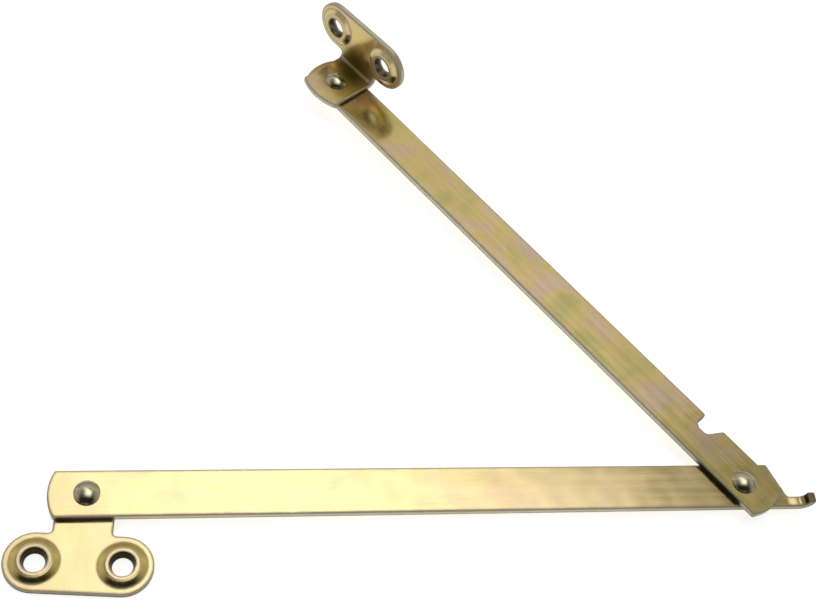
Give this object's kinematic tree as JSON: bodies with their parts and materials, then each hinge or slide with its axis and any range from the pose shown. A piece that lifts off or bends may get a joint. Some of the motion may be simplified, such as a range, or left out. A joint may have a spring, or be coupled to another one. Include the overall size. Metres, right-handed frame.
{
  "type": "folding lid stay",
  "caption": "Folding elbow stay for a lid or flap: two riveted flat arms with a stop tab and notch, between a flat and an angled screw bracket.",
  "frame": {"origin": "midway between the two screw holes of the side bracket, on its back face, which lies on the board", "axes": "+X along the side bracket's row of holes, +Y from that row towards the lower arm's pivot, +Z away from the board, along the rivets"},
  "size_m": [0.1662, 0.1504, 0.0198],
  "materials": {
    "plated_steel": "pale brass-coloured plating, brushed along the strip",
    "rivet": "plated, darker and glossier"
  },
  "bodies": {
    "side": {"side_bracket": "plated_steel", "bracket_rivet": "rivet"},
    "lower": {"lower_arm": "plated_steel", "knee_rivet": "rivet"},
    "upper": {"upper_arm": "plated_steel", "lid_rivet": "rivet"},
    "lid": {"lid_bracket": "plated_steel"}
  },
  "joints": [
    {"name": "arm_swing", "type": "hinge", "parent": "side", "child": "lower", "pos_m": [0, 0.014, 0], "axis": [0, 0, 1], "range_deg": [-25, 196]},
    {"name": "elbow_fold", "type": "hinge", "parent": "lower", "child": "upper", "pos_m": [0.1366, 0.02451, 0], "axis": [0, 0, 1], "range_deg": [-126.8, 49.5]},
    {"name": "lid_turn", "type": "hinge", "parent": "upper", "child": "lid", "pos_m": [0.04762, 0.12869, 0], "axis": [0, 0, 1], "continuous": true}
  ]
}
